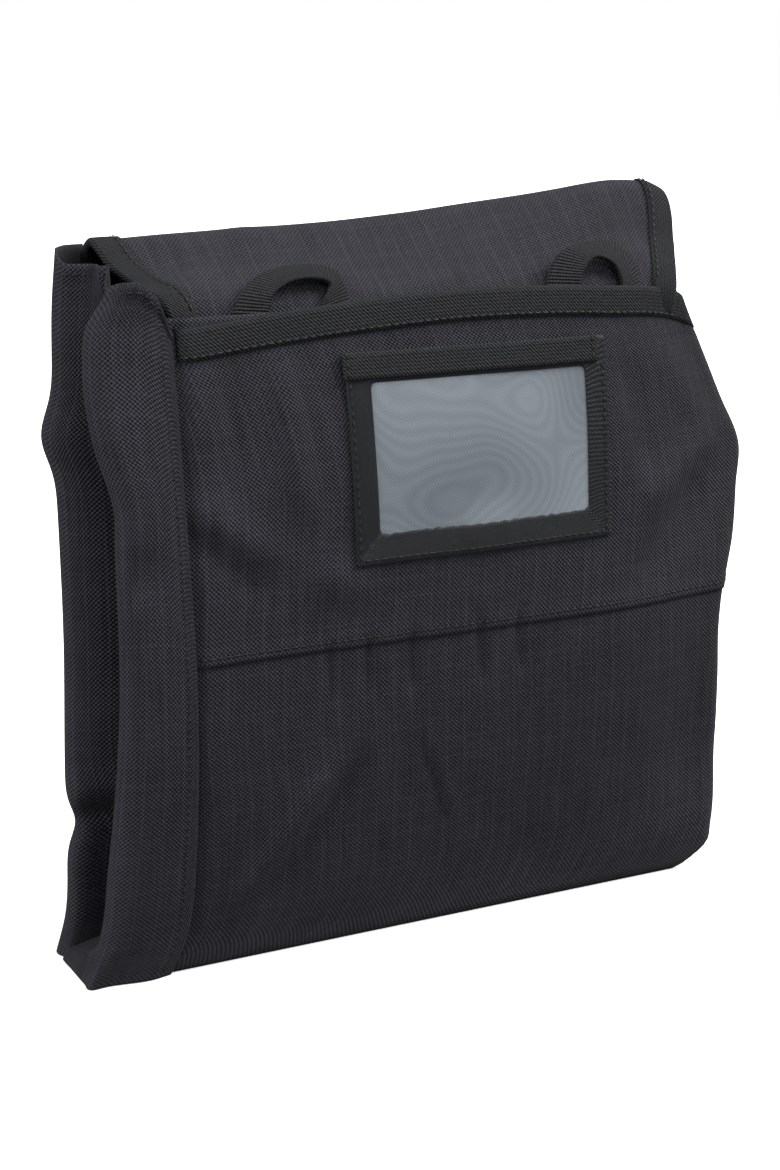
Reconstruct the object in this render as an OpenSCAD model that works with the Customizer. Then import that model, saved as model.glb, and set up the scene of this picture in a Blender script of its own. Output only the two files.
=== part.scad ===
// Film changing bag, folded flat and stowed in its own bellows pouch.
// Frame: +X to the right along the front, +Y to the back, +Z up.
// Origin: middle of the footprint, on the surface the pouch stands on.

/* [Pouch] */
// Height of the bound front edge
front_h = 247; // [235:1:252]
// Depth of the foot, front corner to back corner
foot_d = 46.4; // [44:0.2:50]
// How far the front swells past the foot at mid height
front_swell = 14.1; // [8:0.1:15]
// How far the back swells past the foot at mid height
back_swell = 4; // [0:0.5:6]
// How much further forward the bound edge sits than the foot
front_lean = 1.8; // [1.5:0.1:3]
// Distance from the centre to the left upright seam
left_seam_x = 103; // [102.5:0.5:106]
// Distance from the centre to the right upright seam
right_seam_x = 119; // [117:1:120]
// Height of the turned and topstitched lower edge of the front pocket
pocket_z = 124; // [100:1:140]
// Thickness of one coated cloth wall
wall_t = 1.6; // [1.2:0.1:1.8]
// Thickness of the pocket cloth on the front panel
pocket_t = 1; // [0.8:0.1:1.2]

/* [Flap] */
// Height of the fold line that the flap lifts about
hinge_z = 245; // [243:0.5:246]
// Thickness of the flap
flap_t = 1.2; // [0.8:0.1:1.4]
// Thickness of the flap's folded edge tape
flap_tape_t = 2.4; // [1.8:0.1:2.4]
// Width of the folded edge tape
tape_w = 11; // [9:0.5:12]
// Angle that the tucked end covers, seen from the fold line
tuck_angle = 18; // [14:1:19]

/* [Label holder] */
// Outside width of the label holder
label_w = 110; // [108:1:116]
// Outside height of the label holder
label_h = 77; // [75:1:79]
// Sight width of the window
window_w = 90.5; // [88:0.5:92]
// Sight height of the window
window_h = 55; // [52:0.5:57]

/* [Webbing loops] */
// Width of a loop over both legs
loop_w = 48; // [44:1:50]
// Height of a loop above the bound edge
loop_h = 17; // [15:0.5:18]
// Width of the webbing at a leg
webbing_w = 14; // [12:0.5:16]
// Thickness of the webbing
webbing_t = 1.6; // [1.4:0.1:1.8]
// Middle of the left loop
left_loop_x = -60.5; // [-62:0.5:-56]
// Middle of the right loop
right_loop_x = 67.5; // [64:0.5:70]

/* [Zips] */
// Length of each zip chain
zip_l = 184; // [150:1:186]
// Thickness of the zip chain
chain_t = 2.4; // [2.2:0.1:2.6]
// Length of the slider body
slider_l = 10; // [9:0.5:11]
// Length of the outer pull from its pivot
outer_pull_l = 16; // [12:0.5:17]
// Length of the inner pull from its pivot
inner_pull_l = 13; // [10:0.5:14]

/* [Hidden] */

gap = 0.4;                  // clearance between cloth pieces on different bodies
tall = 400;                 // longer than any side of the pouch
step_z = 19;                // height between two rows of a curved wall
back_h = 281;               // height of the ridge where the back turns into the flap
foot_front = 17.7;          // from the centre line to the front corner of the foot
foot_back = foot_d - foot_front;
panel_t = 1.6;              // front panel behind the pocket
front_t = pocket_t + panel_t;
binding_t = 0.6;            // one side of the tape folded over the bound edge

cloth = "#2b2b30";
tape = "#232427";
lining = "#1a1a1c";
metal = "#3a3b3d";
film = "#98a2ad";

// Rows of the two swelling walls: [height, outside of the wall]
front_rows = [for (z = [0 : step_z : 14 * step_z])
    [z, -(foot_front + front_lean * z / front_h + front_swell * sin(180 * z / front_h))]];
back_rows = [for (z = [0 : step_z : 15 * step_z])
    [z, foot_back + back_swell * sin(180 * z / back_h)]];

// Outside of the front wall and of the back wall at height z
function front_y(z) = lookup(z, front_rows);
function back_y(z) = lookup(z, back_rows);

// Heights from z0 to z1 where a wall between them needs a row
function heights(z0, z1) = concat([z0], [for (r = front_rows) if (r[0] > z0 && r[0] < z1) r[0]], [z1]);
function flip(list) = [for (i = [len(list) - 1 : -1 : 0]) list[i]];

// The fold line that the flap lifts about lies just behind the back wall, so that the
// open flap hangs down outside it
hinge_y = back_y(hinge_z) + 0.6;
flap_root_y = back_y(hinge_z) - wall_t / 2;
// Radius of the tucked end about that line, to the middle of its cloth
tuck_r = hinge_y - front_y(front_h) - front_t - binding_t - 1 - flap_t / 2;

// Closed outline of a strip of thickness t whose middle follows a path of points
function unit(v) = v / norm(v);
function along(p, i) = unit(p[min(i + 1, len(p) - 1)] - p[max(i - 1, 0)]);
function side(p, i, d) = p[i] + d * [-along(p, i)[1], along(p, i)[0]];
function strip(p, t) = concat(
    [for (i = [0 : len(p) - 1]) side(p, i, t / 2)],
    [for (i = [len(p) - 1 : -1 : 0]) side(p, i, -t / 2)]
);

// Y-Z outline drawn out along X from x0 to x1
module drawn(points, x0, x1) {
    translate([x0, 0, 0]) rotate([90, 0, 90]) linear_extrude(x1 - x0) polygon(points);
}

// Box between two corners
module block(a, b) {
    translate(a) cube(b - a);
}

// Wall between two depths behind the front surface, from z0 to z1
module front_wall(x0, x1, z0, z1, d0, d1) {
    rows = heights(z0, z1);
    drawn(concat(
        [for (z = rows) [front_y(z) + d0, z]],
        [for (z = flip(rows)) [front_y(z) + d1, z]]
    ), x0, x1);
}

// Solid through a stack of rings that all have the same number of points
module loft(rings) {
    n = len(rings[0]);
    m = len(rings);
    polyhedron(
        points = [for (r = rings) for (p = r) p],
        faces = concat(
            [[for (i = [n - 1 : -1 : 0]) i]],
            [for (k = [0 : m - 2]) for (i = [0 : n - 1])
                [k * n + i, k * n + (i + 1) % n, (k + 1) * n + (i + 1) % n]],
            [for (k = [0 : m - 2]) for (i = [0 : n - 1])
                [k * n + i, (k + 1) * n + (i + 1) % n, (k + 1) * n + i]],
            [[for (i = [0 : n - 1]) (m - 1) * n + i]]
        ),
        convexity = 4
    );
}

// Value of a [z, value] list at height z
function at(list, z) = lookup(z, list);

// Ring of one gusset leaf at height z: a seam edge at xs, round nose at the fold xf.
// y0 and y1 are its lower and higher y at the seam, yn the y of the nose.
function leaf_ring(z, xs, xf, y0, y1, yn, r) =
    let (s = sign(xf), r = min(r, abs(xf - xs) - 0.3), c = [xf - s * r, yn])
    let (ring = concat(
        [[xs, y0, z]],
        [for (a = [-90 : 30 : 90]) [c[0] + s * r * cos(a), c[1] + r * sin(a), z]],
        [[xs, y1, z]]
    ))
    s > 0 ? ring : flip(ring);

// ---- pouch: back, foot and the back leaves of the bellows sides ----

// Distance of each fold from the centre, by height
left_back_fold = [[0, 145.2], [12, 143], [34, 141], [52, 137], [66, 139.5], [95, 138], [170, 138],
    [188, 139], [203, 142.6], [217, 140], [230, 137.5], [269, 134.5]];
right_back_fold = [[0, 130], [12, 136], [60, 137], [120, 138], [170, 141], [210, 138], [248, 129]];
left_front_fold = [[0, 143.6], [14, 139], [45, 134], [115, 128], [182, 128], [209, 134], [235, 137],
    [250, 131], [259, 125.5]];
right_front_fold = [[0, 121], [11, 134], [75, 136], [113, 136], [132, 144.4], [175, 144.9],
    [187, 141], [220, 130], [237, 125.5], [244, 121.5]];

leaf_gap = 0.5;             // half of the gap between a front leaf and a back leaf at the seam
foot_gap = 0.4;             // front leaves stay this far above the foot cloth

module back_panel() color(cloth) {
    rows = heights(wall_t, hinge_z - gap);
    drawn(concat(
        [for (z = rows) [back_y(z), z]],
        [for (z = flip(rows)) [back_y(z) - wall_t, z]]
    ), -left_seam_x, left_seam_x);
}

module bottom_panel() color(cloth) {
    y0 = front_t + gap - foot_front;
    linear_extrude(wall_t) polygon([
        [-138, y0 + 4], [-left_seam_x, y0], [118, y0], [131, y0 + 8],
        [131, foot_back - 8], [118, foot_back], [-left_seam_x, foot_back], [-138, foot_back - 4]
    ]);
}

// Back leaf: side is -1 for left, 1 for right
module back_leaf(side, folds, heights, seam_top) {
    loft([for (z = heights)
        let (xs = side * (z > hinge_z - gap - 0.2 ? seam_top : left_seam_x))
        let (xf = side * at(folds, z))
        let (r = z > hinge_z ? 5.5 : 8.5)
        leaf_ring(z, xs, xf, z > hinge_z ? 5 : leaf_gap, back_y(z) - (z > hinge_z ? 3 : 0),
            back_y(z) - r - 5, r)
    ]);
}

module left_gusset_back() color(cloth)
    back_leaf(-1, left_back_fold,
        [wall_t, 12, 34, 52, 66, 95, 130, 170, 188, 203, 217, 230, 244, 245.2, 260, 269], 122.5);

module right_gusset_back() color(cloth)
    back_leaf(1, right_back_fold, [wall_t, 12, 60, 90, 120, 170, 210, 230, 244], 125);

// ---- folded changing bag inside the pouch ----

fold_half = 101;            // half length of the folded layers
inner_y = [-9.2, 2];        // lining folds, front and back
outer_y = [2.4, 26.4];      // shell folds, front and back
inner_top = 228;
outer_top = 238;
fold_foot = 3;              // folded layers start above the foot cloth

// A stack of n folded layers side by side, each with round top and bottom folds
module folded_stack(y, z0, z1, n) {
    t = (y[1] - y[0]) / n;
    translate([-fold_half, 0, 0]) rotate([90, 0, 90]) linear_extrude(2 * fold_half)
        for (i = [0 : n - 1]) {
            c = y[0] + t * (i + 0.5);
            translate([c - t / 2, z0 + t / 2]) square([t, z1 - z0 - t]);
            translate([c, z0 + t / 2]) circle(d = t, $fn = 32);
            translate([c, z1 - t / 2]) circle(d = t, $fn = 32);
        }
}

module outer_bag_fold() color(cloth) folded_stack(outer_y, fold_foot, outer_top, 3);
module inner_bag_fold() color(lining) folded_stack(inner_y, fold_foot, inner_top, 2);

sleeve_z = [8, 204];
cuff_z = [206, 222];
sleeve_back = inner_y[0] - gap;

module sleeve(x0, x1) {
    drawn(concat(
        [for (z = heights(sleeve_z[0], sleeve_z[1])) [front_y(z) + front_t + 2, z]],
        [[sleeve_back, sleeve_z[1]], [sleeve_back, sleeve_z[0]]]
    ), x0, x1);
}

// Gathered elastic band, pressed flat, with the slit that the wrist goes through
module cuff(xc) {
    w = 56;
    t = 5.6;
    slit = 1.2;
    translate([xc, sleeve_back - t / 2, cuff_z[0]]) difference() {
        union() {
            translate([-w / 2 + t / 2, -t / 2, 0]) cube([w - t, t, cuff_z[1] - cuff_z[0]]);
            for (s = [-1, 1]) translate([s * (w - t) / 2, 0, 0])
                cylinder(d = t, h = cuff_z[1] - cuff_z[0], $fn = 32);
        }
        translate([-w / 2 + t / 2, -slit / 2, -1]) cube([w - t, slit, tall]);
    }
}

module left_sleeve() color(lining) sleeve(-fold_half, -2);
module right_sleeve() color(lining) sleeve(2, fold_half);
module left_cuff() color(tape) cuff(-51);
module right_cuff() color(tape) cuff(51);

// ---- zips ----

chain_half = 2.6;           // half width of the chain
slit_half = 0.8;            // half width of the slit between its two sides
tent_half = 5.6;            // half width of the raised part of the tape
tent_h = 3.6;               // height of the tape's middle over the fold it is sewn to
zip_tape_t = 0.8;
travel_end = 4;             // length of chain taken by a stop at each end

outer_zip_y = 14.4;
inner_zip_y = -4.4;

// Zip sewn along the top of a fold at height z, with the tape this wide each side
module zip(yc, z, tape_half) translate([0, yc, z]) {
    drawn(strip([[-tape_half, zip_tape_t / 2], [-tent_half, zip_tape_t / 2],
        [-tent_half + 1, tent_h], [-slit_half, tent_h]], zip_tape_t), -zip_l / 2, zip_l / 2);
    drawn(strip([[slit_half, tent_h], [tent_half - 1, tent_h],
        [tent_half, zip_tape_t / 2], [tape_half, zip_tape_t / 2]], zip_tape_t), -zip_l / 2, zip_l / 2);
    for (s = [-1, 1]) {
        y0 = s < 0 ? -chain_half : slit_half;
        block([-zip_l / 2, y0, tent_h - chain_t / 2],
            [zip_l / 2, y0 + chain_half - slit_half, tent_h + chain_t / 2]);
    }
}

module zip_stops(yc, z) translate([0, yc, z + tent_h + chain_t / 2])
    for (s = [-1, 1])
        translate([s * (zip_l / 2 - 1.5), 0, 0.6]) cube([2, 2 * chain_half, 1.2], center = true);

plate_t = 1;
plate_half = 4.1;
upper_z = tent_h + chain_t / 2 + gap;           // underside of the slider's upper plate
lower_z = tent_h - chain_t / 2 - gap;           // top of its lower plate
flange_t = 0.9;
bridge_h = 2.4;
pivot_z = upper_z + plate_t + 0.95;             // height of the pull's crossbar
slider_x = -zip_l / 2 + travel_end + slider_l / 2;

// Slider: two plates joined by a post in the slit, with a bridge that holds the pull
module slider(yc, z) translate([slider_x, yc, z]) {
    half = slider_l / 2;
    block([-half, -plate_half, upper_z], [half, plate_half, upper_z + plate_t]);
    block([-half, -plate_half, lower_z - plate_t], [half, plate_half, lower_z]);
    block([-1.5, -slit_half + 0.35, lower_z - 0.1], [1.5, slit_half - 0.35, upper_z + 0.1]);
    for (s = [-1, 1]) translate([0, s * (plate_half - flange_t / 2), 0]) {
        block([-half, -flange_t / 2, upper_z - 0.7], [half, flange_t / 2, upper_z + 0.1]);
        block([-half, -flange_t / 2, lower_z - 0.1], [half, flange_t / 2, lower_z + 0.7]);
    }
    top = upper_z + plate_t;
    difference() {
        block([-3.4, -1.1, top - 0.1], [3.4, 1.1, top + bridge_h]);
        block([-2.2, -2, top - 0.05], [2.2, 2, top + bridge_h - 0.7]);
    }
}

// Pull: a crossbar under the bridge, two arms and a tab with a grip hole
module pull(yc, z, length) translate([slider_x, yc, z + pivot_z]) {
    bar_r = 0.55;
    arm = 1;
    inner_half = 1.6;
    outer_half = inner_half + arm;
    t = 1.1;
    rotate([90, 0, 0]) cylinder(r = bar_r, h = 2 * outer_half, center = true, $fn = 24);
    for (s = [-1, 1]) translate([0, s * (inner_half + arm / 2), 0]) {
        translate([0, -arm / 2, -t / 2]) cube([5, arm, t]);
    }
    difference() {
        union() {
            translate([4.6, -outer_half, -t / 2]) cube([length - 4.6 - outer_half, 2 * outer_half, t]);
            translate([length - outer_half, 0, 0]) cylinder(r = outer_half, h = t, center = true, $fn = 40);
        }
        translate([length - outer_half, 0, 0]) cylinder(r = 1.1, h = 2 * t, center = true, $fn = 24);
    }
}

module outer_zip() color(tape) zip(outer_zip_y, outer_top, 11.4);
module inner_zip() color(tape) zip(inner_zip_y, inner_top, 6.5);
module outer_zip_stops() color(metal) zip_stops(outer_zip_y, outer_top);
module inner_zip_stops() color(metal) zip_stops(inner_zip_y, inner_top);
module outer_zip_slider() color(metal) slider(outer_zip_y, outer_top);
module inner_zip_slider() color(metal) slider(inner_zip_y, inner_top);
module outer_zip_pull() color(metal) pull(outer_zip_y, outer_top, outer_pull_l);
module inner_zip_pull() color(metal) pull(inner_zip_y, inner_top, inner_pull_l);

// ---- front: panel, pocket, bound edge, label holder and front leaves ----

module front_panel() color(cloth)
    front_wall(-left_seam_x, right_seam_x, foot_gap, front_h, pocket_t, front_t);

module front_pocket() color(cloth)
    front_wall(-left_seam_x, right_seam_x, pocket_z, front_h, 0, pocket_t);

module front_edge_binding() color(tape) {
    front_wall(-left_seam_x, right_seam_x, front_h - tape_w, front_h, -binding_t, 0);
    front_wall(-left_seam_x, right_seam_x, front_h - tape_w, front_h, front_t, front_t + binding_t);
    y = front_y(front_h);
    block([-left_seam_x, y - binding_t, front_h], [right_seam_x, y + front_t + binding_t, front_h + binding_t]);
}

// Front leaf: side is -1 for left, 1 for right
module front_leaf(side, folds, heights, seam) {
    loft([for (z = heights)
        let (over = max(0, z - front_h))
        let (zf = min(z, front_h))
        let (r = z > front_h ? 5 : 7.5)
        leaf_ring(z, side * (seam + over), side * at(folds, z), front_y(zf), -leaf_gap - 0.6 * over,
            front_y(zf) + r + 2.5, r)
    ]);
}

leaf_foot = wall_t + foot_gap;

module left_gusset_front() color(cloth)
    front_leaf(-1, left_front_fold, [leaf_foot, 14, 30, 45, 80, 115, 150, 182, 209, 222, 235, 247, 253, 259],
        left_seam_x);

module right_gusset_front() color(cloth)
    front_leaf(1, right_front_fold, [leaf_foot, 11, 40, 75, 113, 132, 150, 175, 187, 205, 220, 237, 244],
        right_seam_x);

label_x = 13.5;             // middle of the label holder
label_z = 155;              // its lower edge
frame_t = 0.6;
header_h = 9.5;

module label_frame() color(tape)
    difference() {
        front_wall(label_x - label_w / 2, label_x + label_w / 2, label_z, label_z + label_h, -frame_t, 0);
        block([label_x - window_w / 2, -tall, label_z + 11], [label_x + window_w / 2, 0, label_z + 11 + window_h]);
    }

module label_window() color(film)
    front_wall(label_x - window_w / 2, label_x + window_w / 2, label_z + 11, label_z + 11 + window_h,
        -0.4, -0.1);

module label_header_tape() color(tape)
    front_wall(label_x - label_w / 2 - 1, label_x + label_w / 2 - 4, label_z + label_h - header_h,
        label_z + label_h, -frame_t - 0.5, -frame_t);

// ---- webbing loops ----

loop_base = front_h + binding_t + 1.2;          // the loops fold about this height
loop_y = front_y(front_h) + front_t - 0.6;      // middle of the webbing
loop_top = front_h + loop_h;

module webbing_loop(xc) color(tape) translate([xc, loop_y - webbing_t / 2, 0])
    rotate([90, 0, 0]) mirror([0, 0, 1]) linear_extrude(webbing_t) difference() {
        polygon([[-loop_w / 2, loop_base], [loop_w / 2, loop_base], [loop_w / 2 - 3, loop_base + 6],
            [loop_w / 2 - 12, loop_top], [-loop_w / 2 + 12, loop_top], [-loop_w / 2 + 3, loop_base + 6]]);
        eye = loop_w - 2 * webbing_w;
        translate([-eye / 2, loop_base - 1]) square([eye, loop_top - loop_base - 5.5]);
    }

module left_webbing_loop() webbing_loop(left_loop_x);
module right_webbing_loop() webbing_loop(right_loop_x);

// ---- flap ----

// Point on the tucked stretch, which runs round the fold line so that it slides along itself
function tucked(a) = [hinge_y - tuck_r * cos(a), hinge_z - tuck_r * sin(a)];

// Middle of the flap's cloth: up the back, over the ridge and down behind the bound edge
end_tape_angle = tuck_angle - 12;
flap_path = concat(
    [[flap_root_y, hinge_z + gap], [flap_root_y, 262], [flap_root_y - 1.6, 270], [flap_root_y - 5.4, 275.6],
     [flap_root_y - 10.5, 277], [flap_root_y - 16, 272.4], [flap_root_y - 24, 265.4],
     [flap_root_y - 32, 258.8], [flap_root_y - 39, 253.2]],
    [for (a = [-6, 0, end_tape_angle]) tucked(a)]
);
butt = 0.3;                 // turn between the cloth's end and the start of its end tape
end_path = [for (a = [end_tape_angle + butt, end_tape_angle + 6, tuck_angle]) tucked(a)];
edge_path = concat(flap_path, [end_path[1], end_path[2]]);

// Outline of the flap from above; inset moves both side edges inwards
function flap_plan(inset) = [
    [-121 + inset, tall], [-121 + inset, 28], [-114.5 + inset, 8], [-104.2 + inset, -8.6],
    [-101.8 + inset, -10.6], [-101.8 + inset, -tall],
    [105 - inset, -tall], [105 - inset, -15], [122 - inset, 9], [121.5 - inset, 28], [121.5 - inset, tall]
];

module flap_plan_cut(inset) linear_extrude(tall) polygon(flap_plan(inset));

module flap_sheet(path, t) drawn(strip(path, t), -tall / 2, tall / 2);

module flap_panel() color(cloth) intersection() {
    flap_sheet(flap_path, flap_t);
    flap_plan_cut(tape_w);
}

// Tape on one side edge: side is -1 for left, 1 for right
module flap_side_binding(side) color(tape) intersection() {
    flap_sheet(edge_path, flap_tape_t);
    difference() {
        flap_plan_cut(0);
        flap_plan_cut(tape_w);
    }
    translate([side > 0 ? 0 : -tall, -tall / 2, 0]) cube(tall);
}

module flap_left_binding() flap_side_binding(-1);
module flap_right_binding() flap_side_binding(1);

module flap_end_binding() color(tape) intersection() {
    flap_sheet(end_path, flap_tape_t);
    flap_plan_cut(tape_w);
}

back_panel();
bottom_panel();
left_gusset_back();
right_gusset_back();
outer_bag_fold();
inner_bag_fold();
left_sleeve();
right_sleeve();
left_cuff();
right_cuff();
outer_zip();
outer_zip_stops();
inner_zip();
inner_zip_stops();
front_panel();
front_pocket();
front_edge_binding();
left_gusset_front();
right_gusset_front();
label_frame();
label_window();
label_header_tape();
left_webbing_loop();
right_webbing_loop();
flap_panel();
flap_left_binding();
flap_right_binding();
flap_end_binding();
outer_zip_slider();
outer_zip_pull();
inner_zip_slider();
inner_zip_pull();
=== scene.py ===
"""Film changing bag, folded flat and stowed in its own bellows pouch.

The pouch is 600-denier ripstop polyester with bound edges, a see-through label holder and two
webbing loops. Lengths in the shape functions are millimetres and become metres in the meshes.
"""

import math

import bpy
import numpy as np
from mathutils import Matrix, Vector


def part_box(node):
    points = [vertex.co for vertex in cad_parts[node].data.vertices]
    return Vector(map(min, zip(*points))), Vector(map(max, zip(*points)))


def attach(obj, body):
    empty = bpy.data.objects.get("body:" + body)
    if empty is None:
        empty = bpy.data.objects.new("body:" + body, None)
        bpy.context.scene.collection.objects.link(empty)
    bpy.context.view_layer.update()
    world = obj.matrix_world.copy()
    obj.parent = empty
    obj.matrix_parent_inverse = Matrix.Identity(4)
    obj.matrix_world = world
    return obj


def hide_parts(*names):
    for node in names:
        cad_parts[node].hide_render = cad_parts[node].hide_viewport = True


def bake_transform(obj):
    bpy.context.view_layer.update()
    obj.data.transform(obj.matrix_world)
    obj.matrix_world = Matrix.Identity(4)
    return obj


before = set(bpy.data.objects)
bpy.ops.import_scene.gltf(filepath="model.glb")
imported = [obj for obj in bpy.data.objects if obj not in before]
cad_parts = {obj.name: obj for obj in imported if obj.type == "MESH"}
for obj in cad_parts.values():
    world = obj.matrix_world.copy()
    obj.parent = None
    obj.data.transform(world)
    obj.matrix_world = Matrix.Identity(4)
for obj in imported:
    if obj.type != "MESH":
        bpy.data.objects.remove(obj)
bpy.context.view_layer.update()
MM = 0.001


def span(node):
    """Lowest and highest corner of a CAD node, in millimetres."""
    low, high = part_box(node)
    return np.array(low) / MM, np.array(high) / MM


# ---------------------------------------------------------------- camera

CAMERA_PLACE = (-0.3514, -0.6912, 0.3455)
CAMERA_AZIMUTH = math.radians(-26.2)
CAMERA_DROP = math.radians(15.2)
LENS_MM = 63.08


def make_camera():
    """Camera in front of the pouch's left half, looking a little down."""
    level = math.cos(CAMERA_DROP)
    along = (-math.sin(CAMERA_AZIMUTH) * level, math.cos(CAMERA_AZIMUTH) * level, -math.sin(CAMERA_DROP))
    facing = Vector(along).to_track_quat("-Z", "Y").to_euler()
    bpy.ops.object.camera_add(location=CAMERA_PLACE, rotation=facing)
    camera = bpy.context.object
    camera.name = "camera"
    camera.data.lens = LENS_MM
    camera.data.sensor_width = 36
    bpy.context.scene.camera = camera


make_camera()

# ---------------------------------------------------------------- shape helpers


def curve(points):
    """Smooth function through [place, value] pairs, flat outside them."""
    at, value = (np.array(column, float) for column in zip(*points))
    slope = np.gradient(value, at)

    def follow(x):
        x = np.clip(np.asarray(x, float), at[0], at[-1])
        k = np.clip(np.searchsorted(at, x) - 1, 0, len(at) - 2)
        step = at[k + 1] - at[k]
        t = (x - at[k]) / step
        return (
            value[k] * (2 * t**3 - 3 * t**2 + 1)
            + value[k + 1] * (3 * t**2 - 2 * t**3)
            + slope[k] * step * (t**3 - 2 * t**2 + t)
            + slope[k + 1] * step * (t**3 - t**2)
        )

    return follow


def ease(x, start, end):
    """0 before start, 1 after end, and a smooth climb between them."""
    t = np.clip((x - start) / (end - start), 0, 1)
    return t * t * (3 - 2 * t)


def bump(x, middle, half_width):
    """Round hump of height 1."""
    return np.exp(-(((x - middle) / half_width) ** 2))


def unrest(a, b, size, seed):
    """Gentle irregular waves between about -1 and 1, size millimetres across."""
    total = 0.0
    for k, turn in enumerate((0.3, 1.5, 2.6, 4.1, 5.3)):
        turn += 0.37 * seed
        along = a * math.cos(turn) + b * math.sin(turn)
        total = total + np.sin(along * 2 * math.pi / (size * (1 + 0.23 * k)) + 2.1 * k + 1.7 * seed)
    return total / 3


def section(stations):
    """Smooth curve through a list of (x, y) pairs of arrays, evaluated at u from 0 to 1."""
    count = len(stations) - 1

    def follow(u, column):
        values = np.stack([np.broadcast_to(s[column], u.shape) for s in stations])
        slope = np.gradient(values, axis=0)
        k = np.clip((u * count).astype(int), 0, count - 1)
        t = u * count - k
        pick = lambda table, row: np.take_along_axis(table, row[None], 0)[0]
        return (
            pick(values, k) * (2 * t**3 - 3 * t**2 + 1)
            + pick(values, k + 1) * (3 * t**2 - 2 * t**3)
            + pick(slope, k) * (t**3 - 2 * t**2 + t)
            + pick(slope, k + 1) * (t**3 - t**2)
        )

    return follow


def lengths(points, axis, start):
    """Distance along a grid of points in one direction, from the row or column at start."""
    steps = np.linalg.norm(np.diff(points, axis=axis), axis=2)
    pad = [(0, 0), (0, 0)]
    pad[axis] = (1, 0)
    run = np.cumsum(np.pad(steps, pad), axis=axis)
    return run - np.take(run, [start], axis=axis)


def apply(piece, kind, **settings):
    """Add a modifier with these settings and apply it."""
    modifier = piece.modifiers.new(kind.lower(), kind)
    for key, value in settings.items():
        setattr(modifier, key, value)
    bpy.context.view_layer.objects.active = piece
    bpy.ops.object.modifier_apply(modifier=modifier.name)


def cloth(name, across, along, place, thick, start=(0, 0), joined=False, even=False):
    """Sheet of across x along faces. place(u, v) puts the corners, u and v from 0 to 1.

    The UV map holds the cloth's flat coordinates in metres. joined closes the sheet into a tube
    along its v edges. even keeps the threads of a bent strap or a folded side parallel.
    """
    bpy.ops.object.select_all(action="DESELECT")
    bpy.ops.mesh.primitive_grid_add(x_subdivisions=across, y_subdivisions=along, size=1)
    piece = bpy.context.object
    piece.name = piece.data.name = name
    mesh = piece.data
    flat = np.zeros(len(mesh.vertices) * 3)
    mesh.vertices.foreach_get("co", flat)
    u, v = flat.reshape(-1, 3)[:, 0] + 0.5, flat.reshape(-1, 3)[:, 1] + 0.5
    points = np.stack([np.broadcast_to(c, u.shape) for c in place(u, v)], axis=1) * MM
    mesh.vertices.foreach_set("co", points.ravel())
    i, j = np.rint(u * across).astype(int), np.rint(v * along).astype(int)
    grid = np.zeros((across + 1, along + 1, 3))
    grid[i, j] = points
    run_u, run_v = lengths(grid, 0, round(start[0] * across)), lengths(grid, 1, round(start[1] * along))
    if even:
        run_u = run_u.mean(axis=1, keepdims=True) + 0 * run_u
        run_v = run_v.mean(axis=0, keepdims=True) + 0 * run_v
    run_u, run_v = run_u[i, j], run_v[i, j]
    corner = np.zeros(len(mesh.loops), int)
    mesh.loops.foreach_get("vertex_index", corner)
    mesh.uv_layers[0].data.foreach_set("uv", np.stack([run_u[corner], run_v[corner]], axis=1).ravel())
    if joined:
        apply(piece, "WELD", merge_threshold=0.00002)
    if thick:
        apply(piece, "SOLIDIFY", thickness=thick * MM, offset=0, use_even_offset=False)
    bpy.ops.object.shade_smooth()
    return piece


def dress(piece, material, body=None, replaces=()):
    """Give a piece its material, let it ride on a body and stand for CAD nodes."""
    piece.data.materials.clear()
    piece.data.materials.append(material)
    if body:
        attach(piece, body)
    if replaces:
        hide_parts(*replaces)
    return piece


# ---------------------------------------------------------------- materials


def linear(code):
    """Linear colour of an sRGB hex value."""
    parts = [int(code[k : k + 2], 16) / 255 for k in (1, 3, 5)]
    return tuple(c / 12.92 if c <= 0.04045 else ((c + 0.055) / 1.055) ** 2.4 for c in parts) + (1,)


def node(tree, kind, inputs=(), out=0, **settings):
    """Add a node, set its properties, set or link its inputs, and return one of its outputs."""
    made = tree.nodes.new("ShaderNode" + kind)
    for key, value in settings.items():
        setattr(made, key, value)
    for key, value in inputs.items() if isinstance(inputs, dict) else enumerate(inputs):
        if isinstance(value, bpy.types.NodeSocket):
            tree.links.new(value, made.inputs[key])
        else:
            made.inputs[key].default_value = value
    return made.outputs[out]


def finish_material(name, **sockets):
    """New material with one Principled shader: returns the material and its node tree."""
    material = bpy.data.materials.new(name)
    material.use_nodes = True
    shader = material.node_tree.nodes["Principled BSDF"]
    for key, value in sockets.items():
        shader.inputs[key.replace("_", " ")].default_value = value
    return material, material.node_tree


def plug(tree, output, name):
    """Link an output into the material's shader."""
    tree.links.new(output, tree.nodes["Principled BSDF"].inputs[name])


def flat_axes(tree, slub_mm=0.0):
    """The two flat coordinates of a cloth in millimetres, with slightly wandering threads."""
    flat = node(tree, "UVMap", uv_map="UVMap")
    scaled = node(tree, "VectorMath", {0: flat, "Scale": 1000.0}, operation="SCALE")
    if slub_mm:
        wander = node(tree, "TexNoise", {"Vector": scaled, "Scale": 0.35, "Detail": 2.0}, out="Color")
        shift = node(tree, "VectorMath", {0: wander, "Scale": slub_mm}, operation="SCALE")
        scaled = node(tree, "VectorMath", [scaled, shift], operation="ADD")
    split = node(tree, "SeparateXYZ", [scaled])
    return scaled, split, split.node.outputs[1]


def wave(tree, across, pitch_mm):
    """Sine along one coordinate, with this pitch."""
    turned = node(tree, "Math", [across, 2 * math.pi / pitch_mm], operation="MULTIPLY")
    return node(tree, "Math", [turned], operation="SINE")


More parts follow.
